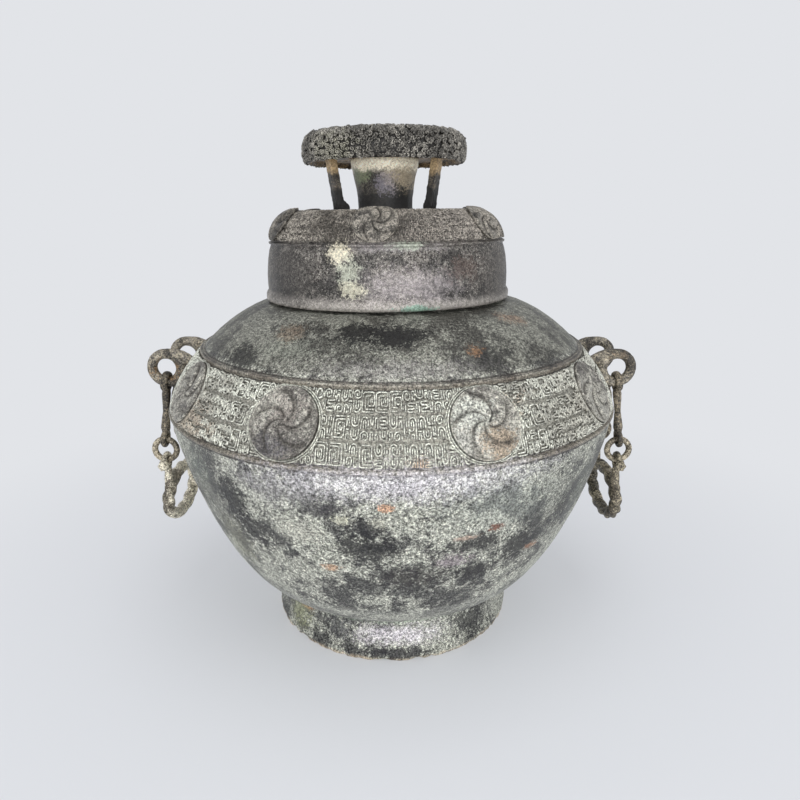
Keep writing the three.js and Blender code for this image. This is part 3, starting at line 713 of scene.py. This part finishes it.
ear_bronze = old_bronze(
    "Ear bronze", "312e2c", "78736b", "b8ae98", 0.46, 0.6,
    [
        ((68, 178, 212), (14, 40, 8), 1.4, "8c7a64", 0.6),
        ((-76, 172, 200), (10, 40, 8), 1.4, "9b7c58", 0.6),
    ],
)
for side_name, side in sides:
    for end_name, end in ends:
        ear = bmesh.new()
        ear_section = round_section(ear_bar, ear_bar)
        drawn(ear, ear_ring, 0, 90, [(358, ear_ring)], ear_section, 12)
        drawn(ear, 0, ear_ring, 180, [(0, 5 * mm), (35, 18 * mm), (0, 11 * mm)], ear_section, 12)
        moved(ear, Matrix.Translation((ear_hole[0], 0, ear_hole[1])) @ Matrix.Rotation(math.pi / 2, 4, "X"))
        tail = bmesh.ops.create_uvsphere(ear, u_segments=12, v_segments=16, radius=1)["verts"]
        for vert in tail:
            height = (185.6 + 14 * vert.co.z) * mm
            radius, _ = shoulder.at(shoulder.along_at(max(height, belly_height)))
            wall_x = math.sqrt(radius**2 - ear_y**2)
            vert.co = (wall_x + (0.3 + 2.5 * vert.co.x) * mm, 3.8 * mm * vert.co.y, height)
        half_turn = Matrix.Rotation(math.pi if side < 0 else 0, 4, "Z")
        moved(ear, half_turn @ Matrix.Translation((0, side * end * ear_y, 0)))
        name = f"ear_{side_name}_{end_name}"
        fused("worn_" + name, ear, 0.7 * mm, 3, 0.35 * mm, ear_bronze, "jar", "ear_bronze", name)

# The chains
# Each ear carries a dumbbell link, a small round ring, and one eye of the grip. The grip is a
# rope-twist oval with a knob outside each eye, all cast in bronze and rubbed pale by handling.
link_lean = math.radians(7.006)
ring_pivot = (174.467 * mm, 140.86 * mm)
link_length = 61.6 * mm
link_ring = 8.4 * mm
link_ring_bar = 2.5 * mm
ring_drop = 3.5 * mm
grip_pivot = 133.86 * mm
grip_half_width = 30.5 * mm
grip_half_height = 17 * mm
grip_bar = 4.8 * mm
grip_drop = 39.65 * mm
grip_turns = 4
grip_strands = 3
grip_stations = 150
top_eye = (6.4 * mm, 6.4 * mm, 2.9 * mm)
small_eye = (5.15 * mm, 5.75 * mm, 2.3 * mm)
eye_bar = 1.75 * mm
knob_radius = 4.3 * mm


def loop(bm, eye, foot, y=0.0):
    """An eye's bar bent to an oval in the YZ plane, standing on a foot height."""
    half_width, half_height, across = eye
    run = half_height - half_width
    moves = [(358, half_width)]
    if run > 0:
        moves = [(0, run), (180, half_width), (0, run * 2), (178, half_width), (0, run)]
    bar = bmesh.new()
    drawn(bar, half_width, 0, 90, moves, round_section(eye_bar, across, 10), 18)
    upright = Euler((math.pi / 2, 0, math.pi / 2)).to_matrix().to_4x4()
    moved(bar, Matrix.Translation((0, y, foot + half_height)) @ upright)
    join_in(bm, bar)


link_bronze = old_bronze("Link bronze", "24211f", "57514a", "b0a48c", 0.5, 0.6)
ring_bronze = old_bronze("Ring bronze", "4a4237", "968c7a", "d8ceb6", 0.42, 0.7)
grip_bronze = {
    "left": old_bronze(
        "Left grip bronze", "544d42", "cfc7b3", "ece6d2", 0.36, 0.7,
        [((-84, 172, 106), (8, 14, 22), 1.3, "5b5248", 0.75)],
    ),
    "right": old_bronze(
        "Right grip bronze", "332e28", "82796a", "d3c9ae", 0.5, 0.7,
        [((80, 172, 106), (8, 14, 22), 1.3, "4b443b", 0.7)],
    ),
}
shank = [(0, -50.6), (3, -50.4), (3.7, -47.2), (3.3, -42), (2.5, -34)]
shank += [(3.2, -24), (3.5, -20), (2.9, -16.6), (0, -16.4)]
for side_name, side in sides:
    for end_name, end in ends:
        place_y = end * ear_y
        link = bmesh.new()
        loop(link, top_eye, -ear_ring - top_eye[1])
        loop(link, small_eye, -link_length)
        join_in(link, turned([(radius * mm, height * mm) for radius, height in shank], 14))
        lean = Matrix.Rotation(-side * link_lean, 4, "Y")
        moved(link, Matrix.Translation((side * ear_hole[0], place_y, ear_hole[1])) @ lean)
        bodied = f"link_{side_name}_{end_name}"
        fused("cast_" + bodied, link, 0.55 * mm, 2, 0.3 * mm, link_bronze, bodied, "chain_bronze", bodied)
        ring = bmesh.new()
        drawn(ring, link_ring, 0, 90, [(358, link_ring)], round_section(link_ring_bar, link_ring_bar), 15)
        stand = Matrix.Translation((side * ring_pivot[0], place_y, ring_pivot[1] - ring_drop))
        moved(ring, stand @ Matrix.Rotation(math.pi / 2, 4, "X"))
        bodied = f"ring_{side_name}_{end_name}"
        fused("cast_" + bodied, ring, 0.55 * mm, 2, 0.25 * mm, ring_bronze, bodied, "chain_bronze", bodied)

    grip = bmesh.new()
    for strand in range(grip_strands):
        rope = bmesh.new()
        ring = bmesh.ops.create_circle(rope, cap_ends=False, segments=10, radius=grip_bar * 0.66)["verts"]
        rim = list(rope.edges)
        rings = [ring]
        for _ in range(grip_stations - 1):
            ring, rim = end_ring(bmesh.ops.extrude_edge_only(rope, edges=rim)["geom"])
            rings.append(ring)
        for station, verts in enumerate(rings):
            along = math.tau * station / grip_stations
            lay = math.tau * strand / grip_strands + along * grip_turns
            across, up = math.cos(along), math.sin(along)
            spot = Vector((0, grip_half_width * across, grip_half_height * up))
            out = Vector((0, grip_half_height * across, grip_half_width * up)).normalized()
            aim = Vector((0, -grip_half_width * up, grip_half_height * across)).normalized()
            square_to = Matrix((Vector((1, 0, 0)), out, aim)).transposed()
            offset = Vector((math.sin(lay), math.cos(lay), 0)) * grip_bar * 0.42
            for vert in verts:
                vert.co = spot + square_to @ (vert.co + offset)
        bmesh.ops.bridge_loops(rope, edges=[edge for edge in rope.edges if edge.is_boundary])
        join_in(grip, rope)
    moved(grip, Matrix.Translation((0, 0, -grip_drop)))
    for end_name, end in ends:
        loop(grip, small_eye, -small_eye[1] * 2, end * ear_y)
        radii = {"radius1": 4.2 * mm, "radius2": 2.8 * mm}
        neck = bmesh.ops.create_cone(grip, segments=12, depth=16 * mm, cap_ends=True, **radii)["verts"]
        bmesh.ops.translate(grip, vec=(0, end * ear_y, -18.6 * mm), verts=neck)
        knob = bmesh.ops.create_uvsphere(grip, u_segments=16, v_segments=10, radius=knob_radius)["verts"]
        for vert in knob:
            petal = 1 + 0.14 * math.cos(6 * math.atan2(vert.co.z, vert.co.x))
            vert.co = (vert.co.x * petal, vert.co.y * 0.9, vert.co.z * petal)
        bmesh.ops.translate(grip, vec=(0, end * (ear_y + 8.5 * mm), -7 * mm), verts=knob)
    moved(grip, Matrix.Translation((side * ring_pivot[0], 0, grip_pivot)))
    bodied = f"grip_{side_name}"
    bronze = grip_bronze[side_name]
    fused("cast_" + bodied, grip, 0.6 * mm, 2, 0.3 * mm, bronze, bodied, "chain_bronze", bodied)

# The lid
# A deep cast cap that stands on the shoulder with a thick lip. A cord parts its plain skirt from
# the domed edge, which has fine threads and six roundels. It sits a little askew.
lid_radius = 90 * mm
lid_wall = 4.2 * mm
lid_draw = 5 * mm
lid_skirt = 41.6 * mm
lid_top = 61.6 * mm
lid_top_radius = 66 * mm
lid_seat = Matrix.Translation((-3 * mm, 0, 252.467 * mm)) @ Matrix.Rotation(math.radians(-0.6), 4, "Y")
skirt_top = lid_radius - lid_draw
dome = Outline(
    (skirt_top, lid_skirt),
    (skirt_top - 0.6 * mm, lid_skirt + 9 * mm),
    (lid_top_radius + 10 * mm, lid_top),
    (lid_top_radius, lid_top),
)
lid_side = [(1.2, 0), (0.3, 0.8), (0, 2.5), (0.1, 5.2), (0.9, 6.7), (1.8, 7.8), (1.6, 12), (1.7, 18)]
lid_side += [(2.2, 24), (3, 30), (4.2, 35.5), (5.2, 38.4), (5.4, 39)]
lid_cord = [(0.5, 39.3), (1.1, 40.2), (1, 41.1), (-0.2, 41.6), (-0.9, 41.9), (-0.8, 42.4)]
lid_points = [
    (0, lid_top - lid_wall),
    (lid_top_radius - 4 * mm, lid_top - lid_wall),
    *dome.stretch(dome.length * 0.8, dome.length * 0.1, 10, -lid_wall),
    (skirt_top - lid_wall, lid_skirt),
    (lid_radius - lid_wall - 1 * mm, 7 * mm),
    (lid_radius - lid_wall, 0.8 * mm),
    (lid_radius - lid_wall + 0.8 * mm, 0),
    *[(lid_radius - x * mm, z * mm) for x, z in lid_side],
    *[(skirt_top + x * mm, z * mm) for x, z in lid_cord],
    *dome.stretch(1.2 * mm, dome.length, 26),
    (lid_top_radius - 1.2 * mm, lid_top - 0.6 * mm),
    (lid_top_radius - 3 * mm, lid_top - 0.5 * mm),
    (0, lid_top - 0.3 * mm),
]
lid = turned(lid_points, 180)
uneven(lid, 0.5 * mm, 18 * mm)
uneven(lid, 0.3 * mm, 4 * mm)
moved(lid, lid_seat)
lid_stains_and_sheen = [
    # Painted sheen on the front of the skirt.
    ((9, 88, 268), (50, 30, 16), 0.8, "b9b1b1", 0.55),
    ((0, 88, 292), (60, 30, 4), 1, "aca6a6", 0.5),
    ((-21, 86, 288), (8, 9, 8), 1.4, "dcd5bf", 0.9),
    ((-17, 88, 277), (7, 9, 9), 1.6, "b9bcab", 0.7),
    ((-15, 89, 266), (9, 9, 5), 1.5, "cac6b0", 0.7),
    ((8, 86, 293), (12, 9, 3), 1.3, "b9c2b0", 0.6),
    ((12, 90, 254), (14, 9, 3), 1.4, "6f9a86", 0.7),
    ((35, 88, 278), (14, 14, 8), 1.6, "5c4a42", 0.5),
    ((-50, 88, 272), (34, 34, 22), 1.1, "2c2927", 0.6),
    ((58, 88, 272), (30, 34, 22), 1.1, "383430", 0.5),
]
lid_bronze = old_bronze(
    "Lid bronze", "23201f", "3a3431", "e2ddd2", 0.42, 0.32, lid_stains_and_sheen, speckle=0.55,
    shade=[(250, 259.5, "bcb6ae", 0.6), (295, 312, "5d5852", 0.7)],
)
cast("lid_cap", lid, lid_bronze, "lid", "lid_bronze", "lid")

dome_bronze = old_bronze(
    "Dome bronze", "5d5851", "8a847b", "b3ada2", 0.4, 0.5,
    [((32, 82, 304), (40, 40, 14), 1.1, "a8a198", 0.5)], recess="57534c",
)
lid_roundel_radius = 14.5 * mm
lid_roundel_proud = 2.8 * mm
bare_radius = 13.9 * mm
dome_holes = [(math.radians(angle), dome.length * 0.5, bare_radius) for angle in range(-4, 300, 60)]
dome_foot = dome.length * 0.03
scroll_proud = 0.5 * mm
scroll_thread = (0.8 * mm, scroll_proud, 0.73)
small_cells = [cell_mesh(cell, *scroll_thread) for cell in (coil_cell, bow_cell, hook_cell)]
small_tall_cells = [cell_mesh(cell, *scroll_thread) for cell in (tall_coil_cell, tall_nest_cell)]
scroll_rows = 3
scroll_count = 98
scroll_width = math.tau * dome.at(dome_foot)[0] / scroll_count
scroll_height = dome.length * 0.94 / scroll_rows
scrolls = bmesh.new()
for row in range(scroll_rows):
    scroll = cells_round(small_cells, small_tall_cells, scroll_count, scroll_width, scroll_height, row + 7)
    moved(scroll, Matrix.Translation((0, row * scroll_height, 0)))
    join_in(scrolls, scroll)
laid(scrolls, dome, 0, dome_foot, scroll_proud, dome_holes)
moved(scrolls, lid_seat)
cast("dome_scrolls", scrolls, dome_bronze, "lid", "lid_bronze")
# Its near-black recess colour is painted shade in the grooves between the lobes.
lid_roundel_bronze = old_bronze("Lid roundel bronze", "4b4741", "8b857b", "b3ada2", 0.4, 0.4, recess="221f1c")
for index, (angle, along, _) in enumerate(dome_holes):
    boss = roundel(lid_roundel_radius, lid_roundel_proud)
    laid(boss, dome, angle, along, 2.6 * mm)
    uneven(boss, 0.2 * mm, 3 * mm)
    moved(boss, lid_seat)
    cast(f"lid_roundel_{index + 1}", boss, lid_roundel_bronze, "lid", "lid_bronze")

# The stem and its three struts
# A thick cast stem that flares under the crown, and three square bars that lean in towards it.
# They are black at the foot and tan where the crown kept the rain off.
knob_seat = lid_seat @ Matrix.Translation((-0.8 * mm, 0, 61.9 * mm))
stem_height = 30 * mm
crown_hollow = 4.6 * mm
stem_bronze = old_bronze(
    "Stem bronze", "252322", "514d49", "a39a88", 0.45, 0.4,
    [
        ((20, 24, 336), (14, 60, 9), 1.3, "b3a58c", 0.75),
        ((-8, 24, 331), (10, 13, 7), 1.3, "85808a", 0.6),
        ((-60, 24, 337), (9, 12, 6), 1.3, "8f9a78", 0.6),
    ],
    # The top ring is the stem's own cream, painted near white as light under the crown.
    shade=[(340, 354, "fff6de", 1), (310, 326, "171616", 0.9)],
    metal=0.1, speckle=0.45,
)
strut_bronze = old_bronze(
    "Strut bronze", "252322", "4a4540", "a3957c", 0.45, 0.3,
    shade=[(338, 354, "b39a74", 0.85), (310, 329, "121212", 0.92)],
    metal=0.1, speckle=0.6,
)
stem_end = stem_height + crown_hollow
stem_side = [(0, 0), (20.4, 0), (20, 1.5), (20.2, 8), (21.2, 16), (22.5, 22), (23.8, 27), (24.4, 29)]
stem = turned([*[(x * mm, z * mm) for x, z in stem_side], (24.8 * mm, stem_end), (0, stem_end)], 64)
bmesh.ops.subdivide_edges(stem, edges=stem.edges, cuts=1, use_grid_fill=True)
uneven(stem, 0.9 * mm, 5 * mm)
moved(stem, knob_seat)
cast("cast_stem", stem, stem_bronze, "lid", "knob_bronze", "stem")
strut_thick = 6.4 * mm
strut_wide = 7.6 * mm
strut_foot = 36.5 * mm
strut_lean = 5.5 * mm
for strut_name, degrees, toe in (("left", -60, 3.6 * mm), ("right", 60, 1.2 * mm), ("rear", 180, 2.4 * mm)):
    strut = bmesh.new()
    bmesh.ops.create_cube(strut, size=1)
    bmesh.ops.scale(strut, vec=(strut_thick, strut_wide, stem_height), verts=strut.verts)
    uprights = [edge for edge in strut.edges if edge.verts[0].co.z * edge.verts[1].co.z < 0]
    bmesh.ops.subdivide_edges(strut, edges=uprights, cuts=9)
    for vert in strut.verts:
        share = vert.co.z / stem_height + 0.5
        middle = strut_foot + strut_lean * share
        vert.co.x += middle
        if share < 0.12 and vert.co.x < middle:
            vert.co.x -= toe
        vert.co.z = share * stem_end
    moved(strut, knob_seat @ Matrix.Rotation(math.radians(degrees - 90), 4, "Z"))
    name = f"strut_{strut_name}"
    fused("cast_" + name, strut, 0.7 * mm, 2, 0.4 * mm, strut_bronze, "lid", "knob_bronze", name)

# The crown
# A thick disc that serves as the lid's grip, covered over its top and side with small curls that
# stand up like a knotted rope, and plain and tan beneath.
crown_radius = 59 * mm
crown_seat = knob_seat @ Matrix.Translation((0, 0, 30.3 * mm))
# The curls' roots take a near-black recess colour: painted shade between the curls.
crown_bronze = old_bronze(
    "Curl bronze", "504d48", "7c7871", "b5b1a7", 0.42, 0.45,
    [((-38, 58, 352), (18, 18, 10), 1.4, "8a8c6a", 0.2)], recess="262421",
)
plate_bronze = old_bronze(
    "Plate bronze", "3a2c20", "8d7350", "c9b088", 0.5, 0.5,
    [
        ((-60, 46, 347), (16, 16, 8), 1.3, "d0b084", 0.9),
        ((62, 46, 347), (20, 20, 8), 1.3, "d0b084", 0.9),
    ],
    recess="2b2926",
)
crown_side = Outline(
    (crown_radius - 4 * mm, 0.9 * mm),
    (crown_radius - 0.6 * mm, 3 * mm),
    (crown_radius + 0.4 * mm, 19.6 * mm),
    (crown_radius - 9.5 * mm, 20.2 * mm),
)
crown = turned(
    [
        (0, crown_hollow - 0.2 * mm),
        (crown_radius - 9 * mm, crown_hollow - 0.2 * mm),
        (crown_radius - 7 * mm, crown_hollow - 1.2 * mm),
        (crown_radius - 5.6 * mm, 1 * mm),
        *crown_side.stretch(0, crown_side.length, 22, -0.3 * mm),
        (crown_radius * 0.5, 20.3 * mm),
        (0, 20.6 * mm),
    ],
    120,
)
uneven(crown, 0.5 * mm, 5 * mm)
moved(crown, crown_seat)
# Where the plate shows only between the curls it is marked 0 and takes the dark recess colour: painted shade.
# The underside keeps its tan.
plate_layer = crown.verts.layers.float.new("Proud")
for vert in crown.verts:
    from_axis = (vert.co - crown_seat.translation).xy.length
    vert[plate_layer] = 1.0 if from_axis < crown_radius - 5.4 * mm and vert.co.z < 352 * mm else 0.0
cast("crown_plate", crown, plate_bronze, "lid", "knob_bronze", "crown")

curl = bmesh.new()
curl_moves = [(180, 0.6 * mm), (170, 1.2 * mm), (60, 1.8 * mm)]
drawn(curl, 0.2 * mm, 0, 90, curl_moves, bar_section(1.1 * mm, 1.1 * mm, 1 * mm), 60)
curl_mesh = meshed("curl", curl)
chance = random.Random(4)
curl_size = 2.75 * mm
crest_count = 52
crest_radius = crown_radius - 5.4 * mm
crest_height = 17.6 * mm
crest_lean = math.pi / 3.4
places = []


def curl_row(radius, height, lean, shift):
    """The places of one ring of curls about the crown's axis."""
    count = max(1, round(math.tau * radius / curl_size))
    return [(radius, height, math.tau * (column + shift) / count, lean) for column in range(count)]


rows = round(crown_side.length / curl_size)
for row in range(rows):
    along = (row + 0.5) * crown_side.length / rows
    radius, height = crown_side.at(along)
    ahead = crown_side.at(along, 1 * mm)
    places += curl_row(radius, height, math.atan2(ahead[1] - height, ahead[0] - radius), 0.5 * (row % 2))
top_rows = round((crown_radius - 8 * mm) / curl_size)
for row in range(top_rows):
    radius = (crown_radius - 11 * mm) * (1 - row / top_rows)
    places += curl_row(radius, 19.6 * mm, math.pi / 2, 0.5 * (row % 2))
for crest in range(crest_count):
    angle = math.tau * (crest + chance.uniform(-0.3, 0.3)) / crest_count
    places.append((crest_radius, crest_height, angle, crest_lean))
curls = bmesh.new()
for index, (radius, height, angle, lean) in enumerate(places):
    known = len(curls.verts)
    curls.from_mesh(curl_mesh)
    curls.verts.ensure_lookup_table()
    spin_by = Matrix.Rotation(chance.uniform(0, math.tau), 4, "Z")
    large = chance.uniform(1.7, 2.3) if index >= len(places) - crest_count else chance.uniform(0.8, 1.15)
    flip = Matrix.Diagonal((chance.choice((-1, 1)) * large, large, chance.uniform(0.55, 1) * large, 1))
    stand = Matrix.Rotation(math.pi / 2 - lean, 4, "Y")
    slide = chance.uniform(-0.45, 0.45) * curl_size if height > 3 * mm else 0.3 * curl_size
    spot = Matrix.Translation((radius - slide * math.sin(lean), 0, height + slide * math.cos(lean)))
    around = Matrix.Rotation(angle + chance.uniform(-0.45, 0.45) * curl_size / max(radius, curl_size), 4, "Z")
    bmesh.ops.transform(curls, matrix=around @ spot @ stand @ spin_by @ flip, verts=curls.verts[known:])
bmesh.ops.recalc_face_normals(curls, faces=curls.faces)
curl_layer = curls.verts.layers.float.new("Proud")
tops = curl_mesh.vertices
curls.verts.ensure_lookup_table()
for index, vert in enumerate(curls.verts):
    vert[curl_layer] = 1.0 if tops[index % len(tops)].co.z > 0 else 0.0
moved(curls, crown_seat)
for vert in curls.verts:
    vert.co.z = min(vert.co.z, cad_high[2] - 0.1 * mm)
cast("crown_curls", curls, crown_bronze, "lid", "knob_bronze")

# The studio
# A plain pale floor that fades into the background, broad soft lamps, and the camera where the
# photograph was taken: close, a little above the lid's edge and looking down.
backdrop_tone = tone("e2e4e8")


def mixed(tree, share, a, b, end):
    """Mixes two shaders by a share and feeds them to the tree's output node."""
    feed(tree, tree.nodes[end].inputs["Surface"], node(tree, "MixShader", {0: share, 1: a, 2: b})[0])


floor_paint, floor_tree, floor_surface = painted("Floor paint")
floor_surface["Base Color"].default_value = tone("e4e6ea")
floor_surface["Roughness"].default_value = 1.0
floor_surface["Specular IOR Level"].default_value = 0.0
floor_place = node(floor_tree, "TexCoord", {})["Object"]
floor_away = node(floor_tree, "VectorMath", {0: floor_place}, operation="LENGTH")["Value"]
backdrop = node(floor_tree, "Emission", {"Color": backdrop_tone})[0]
floor_shine = floor_tree.nodes["Principled BSDF"].outputs[0]
floor_share = ramp(floor_tree, floor_away, 0.15, 0.6, 0.35, 1.0)
mixed(floor_tree, floor_share, floor_shine, backdrop, "Material Output")
floor_bm = bmesh.new()
bmesh.ops.create_grid(floor_bm, x_segments=1, y_segments=1, size=6)
floor_mesh = meshed("floor", floor_bm)
floor_mesh.materials.append(floor_paint)
floor = stood("floor", floor_mesh)

world = bpy.data.worlds.new("Studio")
bpy.context.scene.world = world
world.use_nodes = True
world_tree = world.node_tree
sky = world_tree.nodes["Background"]
sky.inputs["Color"].default_value = backdrop_tone
sky.inputs["Strength"].default_value = 0.72
seen = node(world_tree, "Background", {"Color": backdrop_tone})[0]
camera_ray = node(world_tree, "LightPath", {})["Is Camera Ray"]
mixed(world_tree, camera_ray, sky.outputs[0], seen, "World Output")

lamps = [
    ("top", (0.1, -0.35, 1.35), 0.2, 0.8, 4),
    ("left", (-1.2, -0.7, 0.8), 0.2, 0.9, 3),
    ("right", (1.2, -0.6, 0.7), 0.2, 0.9, 2.2),
    ("front", (0.05, -1.5, 0.2), 0.3, 0.9, 15),
]
for lamp_name, place, aim_height, width, power in lamps:
    light = bpy.data.lights.new("lamp_" + lamp_name, "AREA")
    light.shape = "SQUARE"
    light.size = width
    light.energy = power
    holder = stood("lamp_" + lamp_name, light)
    holder.location = place
    aim = Vector((0, 0, aim_height)) - Vector(place)
    holder.rotation_euler = aim.to_track_quat("-Z", "Y").to_euler()

camera = bpy.data.cameras.new("camera")
camera.lens = 28.07
camera.sensor_width = 36
camera.clip_start = 0.01
viewer = stood("camera", camera)
viewer.location = (0.0062, -0.475, 0.311)
viewer.rotation_euler = (math.radians(90 - 16.55), 0, 0)
bpy.context.scene.camera = viewer
bpy.context.scene.view_settings.view_transform = "Standard"
